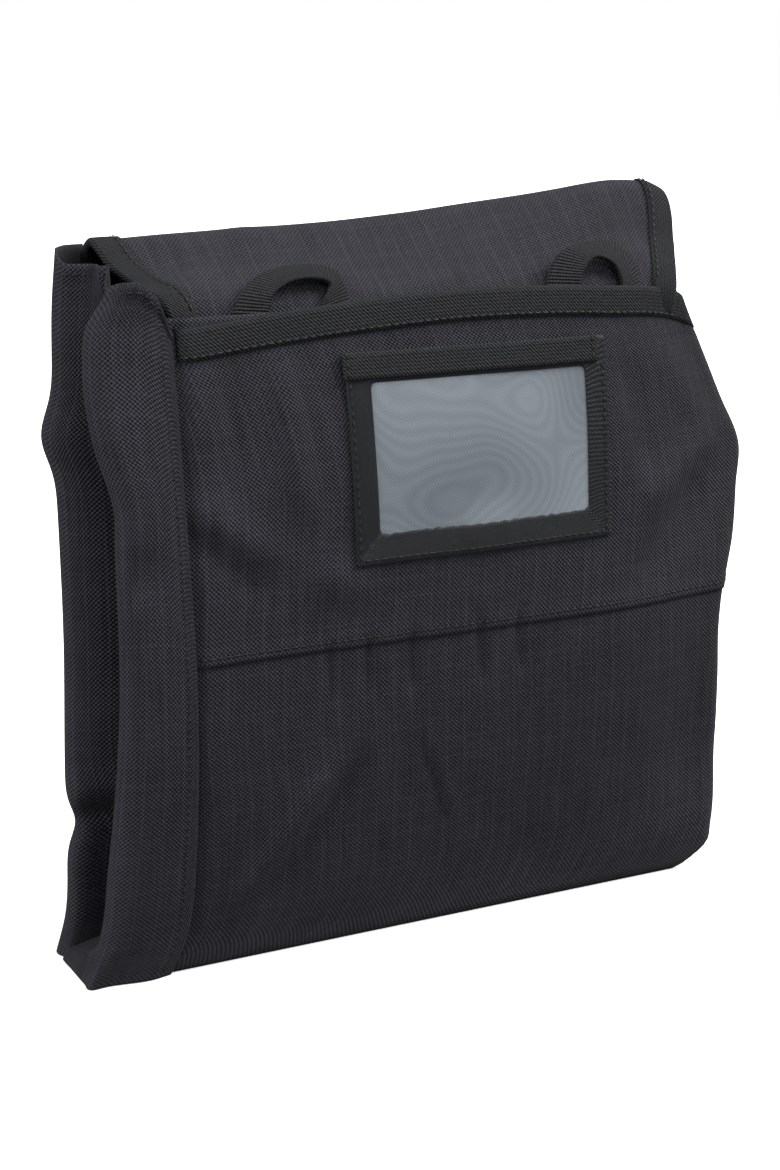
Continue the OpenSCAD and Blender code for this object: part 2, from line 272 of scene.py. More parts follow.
def woven(name, dark, light, thread_mm, roughness, check_mm=0.0, relief_mm=0.25, coat=0.0):
    """Plain weave: threads pass over and under each other, some with a ripstop check."""
    material, tree = finish_material(
        name, Roughness=roughness, Sheen_Weight=0.03, Sheen_Roughness=0.45, Coat_Weight=coat,
        Coat_Roughness=0.35, Specular_IOR_Level=0.12, IOR=1.5,
    )
    scaled, across, along = flat_axes(tree, 0.3)
    warp = wave(tree, across, 2 * thread_mm)
    weft = wave(tree, along, 2 * thread_mm)
    height = node(tree, "Math", [warp, weft], operation="MULTIPLY")
    if check_mm:
        lines = []
        for axis, proud in ((across, 0.28), (along, 0.16)):
            rib = wave(tree, axis, check_mm)
            lines.append(node(tree, "MapRange", {0: rib, 1: 0.9, 2: 0.98, 3: 0.0, 4: proud}))
        check = node(tree, "Math", lines, operation="MAXIMUM")
        height = node(tree, "Math", [height, check], operation="ADD")
    height = node(tree, "MapRange", {0: height, 1: -1.0, 2: 1.0, 3: 0.0, 4: 1.0})
    # Single threads differ a little in tone along their length, the upright ones most
    slubs = []
    for stretch, share in (((0.9, 0.03, 0), 0.1), ((0.03, 0.9, 0), 0.05)):
        drawn = node(tree, "VectorMath", [scaled, stretch], operation="MULTIPLY")
        slub = node(tree, "TexNoise", {"Vector": drawn, "Scale": 1.0, "Detail": 2.0})
        slubs.append(node(tree, "MapRange", {0: slub, 1: 0.3, 2: 0.7, 3: -share, 4: share}))
    slub = node(tree, "Math", slubs, operation="ADD")
    mottle = node(tree, "TexNoise", {"Vector": scaled, "Scale": 0.05, "Detail": 3.0, "Roughness": 0.6})
    mottle = node(tree, "MapRange", {0: mottle, 1: 0.3, 2: 0.7, 3: -0.07, 4: 0.07})
    mix = node(tree, "Math", [height, slub], operation="ADD")
    mix = node(tree, "Math", [mix, mottle], operation="ADD")
    colour = node(tree, "Mix", {0: mix, 6: linear(dark), 7: linear(light)}, out=2, data_type="RGBA")
    plug(tree, colour, "Base Color")
    normal = node(tree, "Bump", {"Strength": 0.9, "Distance": relief_mm * MM, "Height": height})
    plug(tree, normal, "Normal")
    return material


def twill(name, dark, light, rib_mm, slant, roughness, relief_mm=0.2):
    """Tape with fine ribs: slant 0 gives ribs straight across, 1 gives ribs at 45 degrees."""
    material, tree = finish_material(
        name, Roughness=roughness, Sheen_Weight=0.02, Sheen_Roughness=0.45, Specular_IOR_Level=0.12, IOR=1.5
    )
    scaled, across, along = flat_axes(tree, 0.25)
    leaning = node(tree, "Math", [along, slant, across], operation="MULTIPLY_ADD")
    rib = wave(tree, leaning, rib_mm)
    fine = wave(tree, along, rib_mm * 0.9)
    height = node(tree, "Math", [fine, 0.35, rib], operation="MULTIPLY_ADD")
    height = node(tree, "MapRange", {0: height, 1: -1.3, 2: 1.3, 3: 0.0, 4: 1.0})
    mottle = node(tree, "TexNoise", {"Vector": scaled, "Scale": 0.7, "Detail": 3.0})
    mottle = node(tree, "MapRange", {0: mottle, 1: 0.3, 2: 0.7, 3: -0.15, 4: 0.15})
    mix = node(tree, "Math", [height, mottle], operation="ADD")
    colour = node(tree, "Mix", {0: mix, 6: linear(dark), 7: linear(light)}, out=2, data_type="RGBA")
    plug(tree, colour, "Base Color")
    normal = node(tree, "Bump", {"Strength": 0.8, "Distance": relief_mm * MM, "Height": height})
    plug(tree, normal, "Normal")
    return material


def window_material():
    """Frosted vinyl over a fine mesh: pale blue-grey, satin, with soft drifting bands."""
    material, tree = finish_material("frosted_vinyl_mesh", Roughness=0.38, Specular_IOR_Level=0.5, IOR=1.53)
    scaled, across, along = flat_axes(tree)
    # The mesh threads are about 0.4 mm apart and are drawn 0.6 mm apart so that they show
    grid = node(tree, "Math", [wave(tree, across, 1.2), wave(tree, along, 1.2)], operation="MULTIPLY")
    # Where film and mesh lie close together their threads beat in slow contour lines
    gap = node(tree, "TexNoise", {"Vector": scaled, "Scale": 0.016, "Detail": 0.6, "Roughness": 0.4})
    rings = node(tree, "Math", [node(tree, "Math", [gap, 210.0], operation="MULTIPLY")], operation="SINE")
    cloud = node(tree, "MapRange", {0: gap, 1: 0.3, 2: 0.7, 3: 0.1, 4: 0.8})
    mix = node(tree, "Math", [rings, 0.07, cloud], operation="MULTIPLY_ADD")
    mix = node(tree, "Math", [grid, 0.4, mix], operation="MULTIPLY_ADD")
    colour = node(tree, "Mix", {0: mix, 6: linear("#596068"), 7: linear("#8f969e")}, out=2, data_type="RGBA")
    plug(tree, colour, "Base Color")
    plug(tree, node(tree, "Bump", {"Strength": 0.3, "Distance": 0.06 * MM, "Height": grid}), "Normal")
    return material


def metal_material():
    """Die-cast zinc with a black lacquer, worn to a duller grey in fine scuffs."""
    material, tree = finish_material("lacquered_zinc", Metallic=0.9, Roughness=0.35)
    place = node(tree, "TexCoord", out="Object")
    scuff = node(tree, "TexNoise", {"Vector": place, "Scale": 900.0, "Detail": 4.0})
    mix = node(tree, "MapRange", {0: scuff, 1: 0.45, 2: 0.75, 3: 0.0, 4: 1.0})
    colour = node(tree, "Mix", {0: mix, 6: linear("#303134"), 7: linear("#6a6c70")}, out=2, data_type="RGBA")
    plug(tree, colour, "Base Color")
    plug(tree, node(tree, "MapRange", {0: scuff, 1: 0.3, 2: 0.7, 3: 0.28, 4: 0.5}), "Roughness")
    return material


def plain_material(name, dark, light, roughness, grain_mm):
    """Thread or moulded plastic with a fine uneven tone."""
    material, tree = finish_material(name, Roughness=roughness, Specular_IOR_Level=0.4, IOR=1.5)
    place = node(tree, "TexCoord", out="Object")
    tone = node(tree, "TexNoise", {"Vector": place, "Scale": 1 / (grain_mm * MM), "Detail": 3.0})
    colour = node(tree, "Mix", {0: tone, 6: linear(dark), 7: linear(light)}, out=2, data_type="RGBA")
    plug(tree, colour, "Base Color")
    plug(tree, node(tree, "Bump", {"Strength": 0.3, "Distance": 0.05 * MM, "Height": tone}), "Normal")
    return material


# 600-denier threads are about 0.6 mm apart and are drawn 0.85 mm apart so that they show
ripstop = woven("ripstop_polyester", "#060608", "#3a3941", 0.85, 0.6, check_mm=7.5, relief_mm=0.5)
bag_cloth = woven("blackout_polyester", "#161618", "#26262a", 0.7, 0.7)
lining = woven("coated_nylon_lining", "#101012", "#1d1d20", 0.6, 0.5, coat=0.1)
label_cloth = woven("coated_label_cloth", "#0b0c0e", "#2d2f33", 0.85, 0.45, coat=0.15, relief_mm=0.35)
edge_tape = twill("twill_polyester_tape", "#060707", "#2f3033", 1.5, 1.0, 0.65, relief_mm=0.5)
webbing = twill("ribbed_polyester_webbing", "#070708", "#2c2d30", 1.25, 0.0, 0.6, relief_mm=0.5)
elastic = twill("knitted_elastic", "#121213", "#252527", 1.4, 0.0, 0.75)
zip_tape = twill("zip_tape", "#111112", "#222224", 1.0, 1.0, 0.75)
window_film = window_material()
zinc = metal_material()
coil_nylon = plain_material("nylon_zip_coil", "#0e0e0f", "#1e1e20", 0.35, 1.5)
thread = plain_material("bonded_nylon_thread", "#040405", "#101012", 0.55, 0.8)

# ---------------------------------------------------------------- the pouch's surfaces

panel_high = span("front_panel")[1]
pocket_low = span("front_pocket")[0]
LEFT_SEAM = -105.6        # on the swollen front, left of the flat CAD panel
FRONT_TOP = panel_high[2]
POCKET_FOOT = pocket_low[2]
FOOT_FRONT = 17.7       # front corner of the foot, ahead of the centre line
FRONT_LEAN = 1.8        # how much further forward the bound edge sits
FRONT_SWELL = 14.1      # how far the stowed bag pushes the front out at mid height
FOOT_BACK = 28.7
BACK_SWELL = 4.0
BACK_TOP = 281.0
CLOTH_T = 0.8
FOOT_ROUND = 3.0        # radius of the turn from the front into the foot
HEM = 4.6               # turned hem along the top of the sides

# Height of the bound edge along the front: it bows up in the middle
edge_height = curve(
    [(-112, 243), (-103, 243.5), (-60, 247.5), (14, 251.5), (70, 249.5), (105, 245.5), (124, 239)]
)
# Distance of the right-hand roll from the centre, by height: the foot's corner is cut off, the
# pocket's hem draws it in, and above its widest point it slopes in to the bound edge
right_roll = curve(
    [(0, 116), (10, 133), (17, 135), (55, 135.5), (85, 133), (108, 131), (125, 132), (145, 136.5),
     (165, 139.5), (182, 142), (200, 134.5), (225, 122.5), (240, 114), (252, 109)]
)
# Radius of that roll
roll_radius = curve([(0, 3), (10, 7), (60, 9), (112, 8), (140, 7), (175, 6.5), (215, 8), (245, 5)])
# The front leaf of the left side flares towards the foot and again below its top
left_front_fold = curve(
    [(0, -144.5), (15, -139.5), (50, -136), (115, -131.5), (170, -130.5), (182, -130), (206, -135.5),
     (232, -137), (246, -134.5), (258, -126.5), (262, -125)]
)
rear_line = curve(
    [(0, -145.5), (14, -141.5), (40, -139.5), (75, -139), (120, -137.5), (225, -137.5), (250, -136.5),
     (270, -134.5)]
)
# How far in the cloth goes between the two leaves of the left side
left_valley = curve([(0, -110), (225, -110), (245, -115), (256, -120.5), (272, -121.5)])
left_seam = curve(
    [(0, -113.5), (12, -108.5), (30, -105.5), (50, -105), (110, -105), (180, -106.5), (225, -106.5),
     (244, -107), (262, -111)]
)
right_back_fold = curve(
    [(0, 130), (12, 136), (60, 136), (120, 135), (170, 138), (205, 135), (230, 130), (256, 123)]
)


def front_wall(z):
    """Depth of the front at a height, before folds and creases."""
    return -(FOOT_FRONT + FRONT_LEAN * z / FRONT_TOP + FRONT_SWELL * np.sin(math.pi * z / FRONT_TOP))


def left_back_fold(z):
    """Fold of the left side's rear leaf, pinched above the foot and with a corner further up."""
    return rear_line(z) + 3.2 * bump(z, 53, 8) - 4.7 * bump(z, 203, 12)


def back_wall(z):
    """Depth of the back at a height."""
    return FOOT_BACK + BACK_SWELL * np.sin(math.pi * z / BACK_TOP)


# Folds of the front cloth: start, end, half width and height; negative ones are hollows
FRONT_FOLDS = [
    ((-95, 232), (-97, 202), 6, 1.4),
    ((-84, 228), (-88, 180), 6, -1.6),
    ((-66, 231), (-60, 176), 5, 2.6),
    ((-104, 173), (-78, 148), 5, -1.4),
    ((-103, 182), (-70, 160), 6, 1.5),
    ((-56, 152), (-36, 146), 8, 1.4),
    ((2, 162), (26, 166), 8, 1.6),
    ((118, 172), (84, 134), 8, -3.2),
    ((126, 190), (84, 164), 9, 2.6),
    ((96, 228), (122, 190), 9, 1.8),
    ((78, 222), (90, 180), 7, -1.5),
    ((-50, 78), (-88, 28), 5, 2.2),
    ((-38, 78), (-74, 28), 5, -1.5),
    ((-13, 84), (1, 46), 1.4, -1.0),
    ((-10, 84), (4, 46), 2.5, 0.6),
    ((-52, 126), (-50, 104), 2.2, -1.2),
    ((-36, 128), (-36, 106), 2.2, -1.2),
    ((-18, 128), (-18, 104), 2.4, -1.4),
    ((10, 130), (12, 104), 2.4, -1.3),
    ((27, 130), (29, 106), 2.2, -1.1),
]


def fold(x, z, start, end, half_width, height):
    """Round ridge along a line, fading out at both ends."""
    dx, dz = end[0] - start[0], end[1] - start[1]
    t = np.clip(((x - start[0]) * dx + (z - start[1]) * dz) / (dx * dx + dz * dz), 0, 1)
    off = np.hypot(x - start[0] - t * dx, z - start[1] - t * dz)
    return height * np.exp(-((off / half_width) ** 2)) * (1 - 0.6 * (2 * t - 1) ** 4)


def front_relief(x, z):
    """How far creases and fullness push the front cloth out."""
    out = 0.9 * unrest(x, z, 95, 1) * ease(x, LEFT_SEAM, LEFT_SEAM + 25) + 0.35 * unrest(x, z * 0.6, 34, 5)
    for crease in FRONT_FOLDS:
        out = out + fold(x, z, *crease)
    return out * ease(z, 2, 22)


def front_point(a, z, out=0.0):
    """Point of the front cloth: a runs across it and on round the right-hand roll."""
    radius = roll_radius(z)
    turn_at = right_roll(z) - radius
    turned = np.clip((a - turn_at) / radius, 0, None)
    x = np.minimum(a, turn_at)
    wall = front_wall(z * FRONT_TOP / edge_height(x)) - front_relief(x, z) * (1 - np.clip(turned, 0, 1))
    low = np.clip(FOOT_ROUND - z, 0, FOOT_ROUND)
    wall = wall + FOOT_ROUND - np.sqrt(FOOT_ROUND**2 - low**2)
    # The roll leans back a little before it turns, because nothing fills it
    lean = (9.0 + 4.0 * ease(z, 120, 185)) * ease(x, 55, 136) ** 1.5 * ease(z, 0, 60)
    seam_dip = 1.5 * (1 - ease(x - LEFT_SEAM, 0.5, 6)) * ease(z, 6, 25)
    return (
        x + (radius + out) * np.sin(turned),
        wall + lean + seam_dip + radius - (radius + out) * np.cos(turned),
        z,
    )


ROLL_TURN = math.radians(150)


def roll_end(z):
    """Where the front cloth ends behind the right-hand roll."""
    radius = roll_radius(z)
    return right_roll(z) - radius + radius * ROLL_TURN


def widths(z, u):
    left = left_seam(z)
    return left + u * (roll_end(z) - left)


def front_panel():
    """Lower front cloth, from the foot up behind the pocket to the bound edge."""

    def place(u, v):
        z = 0.5 + v * (edge_height(0) - 4)
        a = widths(z, u)
        return front_point(a, z, -0.9 * ease(z, POCKET_FOOT - 1, POCKET_FOOT + 3))

    piece = cloth("front_panel_cloth", 120, 120, place, CLOTH_T, start=(0.4, 0.5))
    dress(piece, ripstop, "front", ["front_panel"])


def pocket_top(a):
    return edge_height(np.minimum(a, 124)) - 0.6


def front_pocket():
    """Pocket cloth over the upper half, with a turned lower edge."""

    def place(u, v):
        z0 = POCKET_FOOT + v * 118
        z = POCKET_FOOT + v * (pocket_top(widths(z0, u)) - POCKET_FOOT)
        a = widths(z, u)
        hem = 0.3 * (1 - ease(z, POCKET_FOOT + 5, POCKET_FOOT + 6.5))
        return front_point(a, z, 0.3 + hem)

    piece = cloth("front_pocket_cloth", 130, 90, place, CLOTH_T, start=(0.4, 0))
    dress(piece, ripstop, "front", ["front_pocket"])


front_panel()
front_pocket()

# ---------------------------------------------------------------- bellows sides


def side_sheet(name, stations, top, faces):
    """Side cloth drawn through stations(z), with its own height at each place across."""

    def place(u, v):
        z = 0.5 + v * (top(u) - 0.5)
        follow = section(stations(z))
        return follow(u, 0), follow(u, 1), z

    return cloth(name, faces[0], faces[1], place, CLOTH_T, even=True)


def left_stations(z):
    wall = front_wall(np.minimum(z, FRONT_TOP) * FRONT_TOP / edge_height(LEFT_SEAM))
    fold = left_front_fold(z)
    seam = left_seam(z)
    back = left_back_fold(z)
    full = 0.6 * unrest(z, 0 * z, 60, 3)
    back_at = back_wall(z)
    seam_back = left_back_seam(z)
    valley = left_valley(z)
    pinch = 2.2 * bump(z, 58, 5) - 2.0 * bump(z, 69, 6)
    rounded = ease(z, 5, 20)
    tucked = 1 - ease(z, 30, 95)  # near the foot the rear leaf turns in behind the front one

    def opened(x, y, crease):
        """The foot holds the two leaves apart below a crease that drops towards the back."""
        flat = fold + (back - fold) * (y + 14) / 33
        return x + (flat - x) * (1 - ease(z, crease - 2, crease + 3.5)), y + 0 * z

    return [
        (seam + 0.6, wall - 0.5),
        (seam + 0.3 * (fold - seam), wall - 2.0 + 0.4 * full),
        (seam + 0.74 * (fold - seam), wall + (full - 1.8) * rounded + 2.0 * bump(z, 160, 9)),
        (fold + 0.3 + 1.6 * rounded, wall + 0.9 * rounded - 0.8 * bump(z, 174, 8)),
        (fold, wall + 5.0),
        opened(fold + 4.5, wall + 10.5, 12.5),
        opened(valley - 3, -4.0, 10),
        opened(valley, -0.5, 8.5),
        opened(valley - 3, 2.6, 7.5),
        opened(back + 11 + 8 * tucked, 8.0 + 3.5 * tucked + full + pinch, 5.5),
        (back + 1.8, 12.5 + full + pinch),
        (back, 17.5 + 0.5 * full),
        (back + 2.6, 22.5 + 0 * z),
        (back + 0.35 * (seam_back - back) + 2, back_at - 1.5),
        (seam_back, back_at),
    ]


def left_back_seam(z):
    """Seam between the back panel and the left side."""
    return -(103 + 18 * ease(z, 60, 262))


def right_back_seam(z):
    return 112 + 9.5 * ease(z, 60, 262)


# Height of the top of the left side's front leaf, from the front seam inwards
front_leaf_top = curve(
    [(0, 246), (0.015, 253), (0.05, 257.5), (0.08, 260.5), (0.15, 261.5), (0.22, 261), (0.38, 256),
     (0.45, 256), (1, 256)]
)


def left_top(u):
    """Height of the left side's raw edge, which steps up at each fold towards the back seam."""
    return front_leaf_top(u) + 9.2 * ease(u, 0.42, 0.5) + 5.0 * ease(u, 0.7, 0.82)


def left_point(u, z):
    follow = section(left_stations(z))
    return follow(u, 0), follow(u, 1)


def left_side():
    """Left bellows side, one cloth with a turned hem along its top."""

    def place(u, v):
        top = left_top(u)
        z = 0.5 + (0.7 * v + 0.3 * v * v) * (top - 0.5)
        x, y = left_point(u, z)
        seen = 1 - ease(u, 0.24, 0.3) + ease(u, 0.46, 0.52) * (1 - ease(u, 0.7, 0.78))
        return x, y - 0.6 * seen * ease(z, top - HEM - 0.8, top - HEM), z

    piece = cloth("left_bellows_side", 190, 180, place, CLOTH_T, even=True)
    dress(piece, ripstop, None, ["left_gusset_front", "left_gusset_back"])
    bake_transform(piece)


def right_stations(z):
    radius = roll_radius(z)
    a = roll_end(z)
    x, y, _ = front_point(a, z)
    back = right_back_fold(z)
    seam_back = right_back_seam(z)
    back_at = back_wall(z)
    deep = np.minimum(x - 14, 113)
    return [
        (x, y),
        (x - 5, y + 1.2),
        (deep + 5, np.maximum(y + 2.5, -5)),
        (deep, -0.5 + 0 * z),
        (deep + 5, 3 + 0 * z),
        (back - 8, 9 + 0 * z),
        (back - 1.5, 13 + 0 * z),
        (back, 17.5 + 0 * z),
        (back - 2.6, 22.5 + 0 * z),
        (back - 0.35 * (back - seam_back) - 2, back_at - 1.5),
        (seam_back, back_at),
    ]


def right_side():
    """Right bellows side, from behind the front roll to the back seam."""
    height = curve([(0, 236), (0.3, 234), (0.45, 238), (0.6, 245), (0.8, 249.5), (1, 248)])
    piece = side_sheet("right_bellows_side", right_stations, height, (90, 120))
    dress(piece, ripstop, None, ["right_gusset_front", "right_gusset_back"])
    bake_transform(piece)


left_side()
right_side()

# ---------------------------------------------------------------- back and flap

# Path of the cloth from the foot up the back, over the ridge and down behind the bound edge
BACK_PATH = [(back_wall(z) - 0.8, z) for z in (1.0, 30, 60, 90, 120, 150, 180, 210, 232)] + [
    (29.4, 245), (29.6, 254), (29.3, 262), (28.2, 269), (25.4, 274.6), (21.5, 277.2), (17.6, 276),
    (11.5, 271), (5.5, 265.6), (-2.5, 258.8), (-9.5, 253), (-13.4, 247.5), (-14.7, 242), (-14.3, 236),
    (-12.9, 231.5),
]
path_points = np.array(BACK_PATH)
path_run = np.concatenate([[0], np.cumsum(np.linalg.norm(np.diff(path_points, axis=0), axis=1))])
path_y = curve(list(zip(path_run, path_points[:, 0])))
path_z = curve(list(zip(path_run, path_points[:, 1])))
hinge_run = path_run[9]
ridge_run = path_run[14]
end_run = path_run[-1]
# Height of the ridge over the CAD one, from left to right
ridge_lift = curve(
    [(-122, -5.5), (-100, -4.5), (-50, -3.5), (-25, -2.5), (20, 1.5), (70, 6), (102, 9), (112, 8),
     (122, 3.5)]
)
# The flap's two side edges, which run in towards each other past the ridge
flap_left = curve(
    [(0, -103), (hinge_run - 60, -115.5), (hinge_run, -120), (ridge_run, -121), (ridge_run + 22, -114.5),
     (ridge_run + 43, -105.5), (end_run, -101.5)]
)
flap_right = curve(
    [(0, 112), (hinge_run - 60, 118.5), (hinge_run, 121), (ridge_run, 121), (ridge_run + 8, 121),
     (ridge_run + 24, 116), (ridge_run + 43, 108.5), (end_run, 104)]
)


def back_point(x, run):
    """Point of the back and flap cloth, run millimetres along it from the foot."""
    y, z = path_y(run), path_z(run)
    right = ease(x, 40, 112)
    past = run - ridge_run
    rise = ease(run, hinge_run + 6, ridge_run) * (1 - ease(past, 12 - 10 * right, 46 - 22 * right))
    z = z + ridge_lift(x) * rise
    over = ease(past, -4, 10) * (1 - ease(past, 30, 52))
    slack = 1.3 * unrest(x, run, 85, 2) + 2.0 * bump(x + 0.9 * past, -62, 10)
    slack = slack - 1.4 * bump(x + 0.8 * past, 10, 14) + 1.4 * bump(x - 0.5 * past, 75, 12)
    z = z + over * slack
    on_back = ease(run, 4, 40) * (1 - ease(run, hinge_run - 40, hinge_run - 8))
    y = y + on_back * 0.9 * unrest(x, run, 110, 4)
    return x, y, z


def back_and_flap():
    """Back panel and flap, one cloth with its fold line behind the back wall."""

    def place(u, v):
        run = v * (end_run - 2)
        inset = 1.5 * ease(run, hinge_run - 20, hinge_run)
        left, right = flap_left(run) + inset, flap_right(run) - inset
        return back_point(left + u * (right - left), run)

    piece = cloth("back_and_flap_cloth", 110, 190, place, CLOTH_T, start=(0.5, 0.7))
    dress(piece, ripstop, None, ["back_panel", "flap_panel"])
    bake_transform(piece)


def foot_cloth():
    """Foot: one cloth, with the right-hand corners cut off."""

    def place(u, v):
        left, right = -138.0, 128.0
        x = left + u * (right - left)
        cut = 12 * ease(x, 112, 128) + 4 * (1 - ease(x, -138, -112))
        front, back = -FOOT_FRONT + 2.2 + cut, FOOT_BACK - 0.8 - cut
        y = front + v * (back - front)
        return x, y, 0.9 + 0.35 * unrest(x, y, 60, 6) + 0.4

    piece = cloth("foot_cloth", 60, 16, place, 1.2)
    dress(piece, ripstop, "pouch", ["bottom_panel"])


back_and_flap()
foot_cloth()

# ---------------------------------------------------------------- bound edges

TAPE_W = 11.0
TAPE_T = 0.7
FOLD_HALF = 1.3          # half of the gap in a folded tape
ROUND_IN = 1.5           # how far in from its nose the folded tape is flat

nose = [
    (ROUND_IN * (1 - math.sin(a)), FOLD_HALF * math.cos(a)) for a in np.radians([30, 60, 90, 120, 150])
]
tape_face = [(TAPE_W, FOLD_HALF - 0.35), (TAPE_W * 0.55, FOLD_HALF - 0.1), (ROUND_IN, FOLD_HALF)]
tape_section = tape_face + nose + [(deep, -high) for deep, high in reversed(tape_face)]
tape_stops = np.linspace(0, 1, len(tape_section))
tape_deep, tape_high = (curve(list(zip(tape_stops, column))) for column in zip(*tape_section))


def tape_profile(v):
    """Folded tape in section: how far in from the edge, and how far out from the cloth."""
    return tape_deep(v), tape_high(v)


def front_binding():
    """Twill tape folded over the front's upper edge, and on round the right-hand roll."""

    def place(u, v):
        deep, high = tape_profile(v)
        a = LEFT_SEAM + 1.4 + u * (right_roll(244) + 7 - LEFT_SEAM)
        z = edge_height(np.minimum(a, 124)) + 0.4 - deep
        return front_point(a, z, high - 0.1)

    piece = cloth("front_edge_tape", 170, 26, place, TAPE_T, even=True)
    dress(piece, edge_tape, "front", ["front_edge_binding"])


def lifted_back(x, run, lift):
    """Point some way outside the back and flap cloth."""
    point = np.array(back_point(x, run))
    along = np.array(back_point(x, run + 1.5)) - np.array(back_point(x, run - 1.5))
    across = np.array(back_point(x + 1.5, run)) - np.array(back_point(x - 1.5, run))
    normal = np.cross(along, across, axis=0)
    return point + normal / np.linalg.norm(normal, axis=0) * lift


def flap_tape(name, node_name, edge_x, inward):
    """Twill tape folded over one side edge of the flap, lying on the cloth."""

    def place(u, v):
        run = hinge_run + 1 + u * (end_run - hinge_run - 1)
        deep, high = tape_profile(v)
        return lifted_back(edge_x(run) + inward * deep, run, high + 0.2 * unrest(run, 10 * v, 30, 7))

    piece = cloth(name, 110, 26, place, TAPE_T, even=True)
    dress(piece, edge_tape, None, [node_name])
    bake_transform(piece)


def flap_end_tape():
    """Twill tape over the tucked end of the flap."""

    def place(u, v):
        deep, high = tape_profile(v)
        x = flap_left(end_run) + 9 + u * (flap_right(end_run) - flap_left(end_run) - 18)
        return lifted_back(x, end_run - 1 - deep, high)

    piece = cloth("flap_end_tape", 100, 26, place, TAPE_T, even=True)
    dress(piece, edge_tape, "flap", ["flap_end_binding"])


front_binding()
flap_end_tape()
flap_tape("flap_left_tape", "flap_left_binding", flap_left, 1)
flap_tape("flap_right_tape", "flap_right_binding", flap_right, -1)

# ---------------------------------------------------------------- label holder

frame_low, frame_high = span("label_frame")
window_low, window_high = span("label_window")
header_low, header_high = span("label_header_tape")


def rounded_outline(x0, x1, z0, z1, radius, per_side, per_corner):
    """Outline of a rectangle with round corners, the same number of points whatever its size."""
    corners = [(x1 - radius, z0 + radius, -90), (x1 - radius, z1 - radius, 0),
               (x0 + radius, z1 - radius, 90), (x0 + radius, z0 + radius, 180)]
    points = []
    for k, (cx, cz, turn) in enumerate(corners):
        arc = [
            (cx + radius * math.cos(math.radians(turn + a)), cz + radius * math.sin(math.radians(turn + a)))
            for a in np.linspace(0, 90, per_corner)
        ]
        nx, nz, next_turn = corners[(k + 1) % 4]
        next_turn = math.radians(next_turn)
        goal = (nx + radius * math.cos(next_turn), nz + radius * math.sin(next_turn))
        side = [
            (arc[-1][0] + t * (goal[0] - arc[-1][0]), arc[-1][1] + t * (goal[1] - arc[-1][1]))
            for t in np.linspace(0, 1, per_side + 1)[1:-1]
        ]
        points += arc + side
    return np.array(points + points[:1])


def label_frame():
    """Coated black cloth frame round the window."""
    inner = rounded_outline(window_low[0], window_high[0], window_low[2], window_high[2], 2.2, 40, 7)
    outer = rounded_outline(frame_low[0], frame_high[0], frame_low[2], frame_high[2], 0.8, 40, 7)
    count = len(inner) - 1

    def place(u, v):
        k = np.rint(u * count).astype(int)
        fray = 0.35 * unrest(inner[k, 0] * 9, 0 * u, 25, 2) * (inner[k, 1] < window_low[2] + 0.5) * (1 - v)
        x = inner[k, 0] + v * (outer[k, 0] - inner[k, 0])
        z = inner[k, 1] + fray + v * (outer[k, 1] - inner[k, 1])
        return front_point(x, z, 1.3)

    piece = cloth("label_frame_cloth", count, 8, place, 0.7, joined=True)
    dress(piece, label_cloth, "front", ["label_frame"])


def label_window():
    """Film behind the frame."""
    grow = 2.0

    def place(u, v):
        x = window_low[0] - grow + u * (window_high[0] - window_low[0] + 2 * grow)
        z = window_low[2] - grow + v * (window_high[2] - window_low[2] + 2 * grow)
        return front_point(x, z, 1.1 + 0.15 * unrest(x, z, 40, 8))

    piece = cloth("label_window_film", 48, 30, place, 0.3)
    dress(piece, window_film, "front", ["label_window"])


def label_header():
    """Twill tape along the holder's open mouth."""

    def place(u, v):
        x = header_low[0] + u * (header_high[0] - header_low[0])
        z = header_low[2] + v * (header_high[2] - header_low[2])
        return front_point(x, z, 2.1)

    piece = cloth("label_header_strip", 80, 8, place, 0.9)
    dress(piece, edge_tape, "front", ["label_header_tape"])


label_frame()
label_window()
label_header()

# ---------------------------------------------------------------- webbing loops

# Where the two selvedges of each strap would run if it stood upright
LEFT_OUTER = [
    (-84, -16, 243), (-78, -16, 255), (-68, -12, 261), (-52, -8, 262.5), (-40, -8, 261), (-36, -12, 255),
    (-34.5, -16, 243),
]
LEFT_INNER = [
    (-68.5, -16.5, 243), (-68, -19.5, 253), (-61, -19.5, 258), (-52, -19, 259), (-45, -19, 257),
    (-46, -18, 252), (-51.5, -16.5, 243),
]
RIGHT_OUTER = [
    (47.5, -16, 243), (47.5, -16.5, 255), (55, -15, 264), (68, -11, 266), (82, -9, 265), (90, -12, 256),
    (91, -16, 243),
]
RIGHT_INNER = [
    (62, -16.5, 243), (60.5, -20, 254), (65, -20, 260), (71, -18, 260.5), (77, -18, 257), (80, -17, 251),
    (80, -16.5, 243),
]


# Shares of how far a strap leans back that it also goes to the right and down
LEAN_ASIDE = 0.5
LEAN_DOWN = 0.1


def leaned(rail, back):
    """Rail of a strap whose upper part rests back against the flap."""
    moved = []
    for x, y, z in rail:
        lean = back * float(ease(z, 246, 258))
        moved.append((x + LEAN_ASIDE * lean, y + lean, z - LEAN_DOWN * lean))
    return moved


def webbing_loop(name, node_name, body, outer, inner):
    """Webbing bent over on itself: a strap between the two curves that its selvedges follow."""
    stops = np.linspace(0, 1, len(outer))
    rails = [[curve(list(zip(stops, column))) for column in zip(*rail)] for rail in (outer, inner)]

    def place(u, v):
        ends = [np.array([follow(u) for follow in rail]) for rail in rails]
        return ends[0] + v * (ends[1] - ends[0])

    piece = cloth(name, 110, 10, place, 1.4, even=True)
    dress(piece, webbing, None, [node_name])
    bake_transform(piece)


